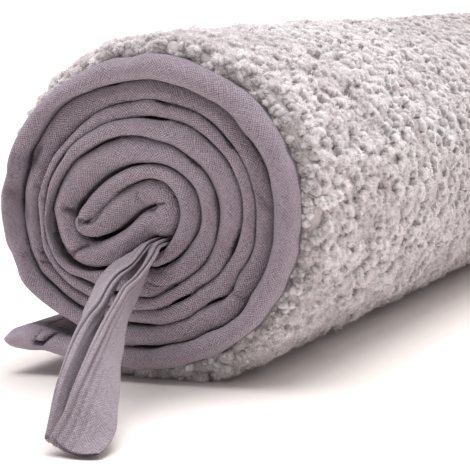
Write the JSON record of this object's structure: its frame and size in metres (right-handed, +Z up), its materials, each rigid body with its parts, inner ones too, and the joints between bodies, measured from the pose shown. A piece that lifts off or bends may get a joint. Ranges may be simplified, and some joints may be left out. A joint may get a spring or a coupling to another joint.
{
  "type": "rolled bath mat",
  "caption": "Tufted bath mat wound into a long roll, pile outwards, its bound edge a spiral at each end, one loose end lying under the roll and a hanging loop drooping from one end",
  "frame": {"origin": "the middle of the bounding box's base, on the surface that the roll rests on", "axes": "+Y runs along the roll, away from the end with the hanging loop. +Z is up. +X is to the right when that end is looked at, with the loose outer end of the mat at the lower left"},
  "size_m": [0.0876, 0.679, 0.0851],
  "materials": {
    "pile": "soft tufted pile, matt",
    "binding": "plain woven tape, matt",
    "loop_tape": "plain woven tape, matt"
  },
  "bodies": {
    "root": {"mat": "pile", "binding_front": "binding", "binding_back": "binding", "binding_outer_end": "binding", "binding_inner_end": "binding", "hanging_loop": "loop_tape"}
  },
  "joints": []
}
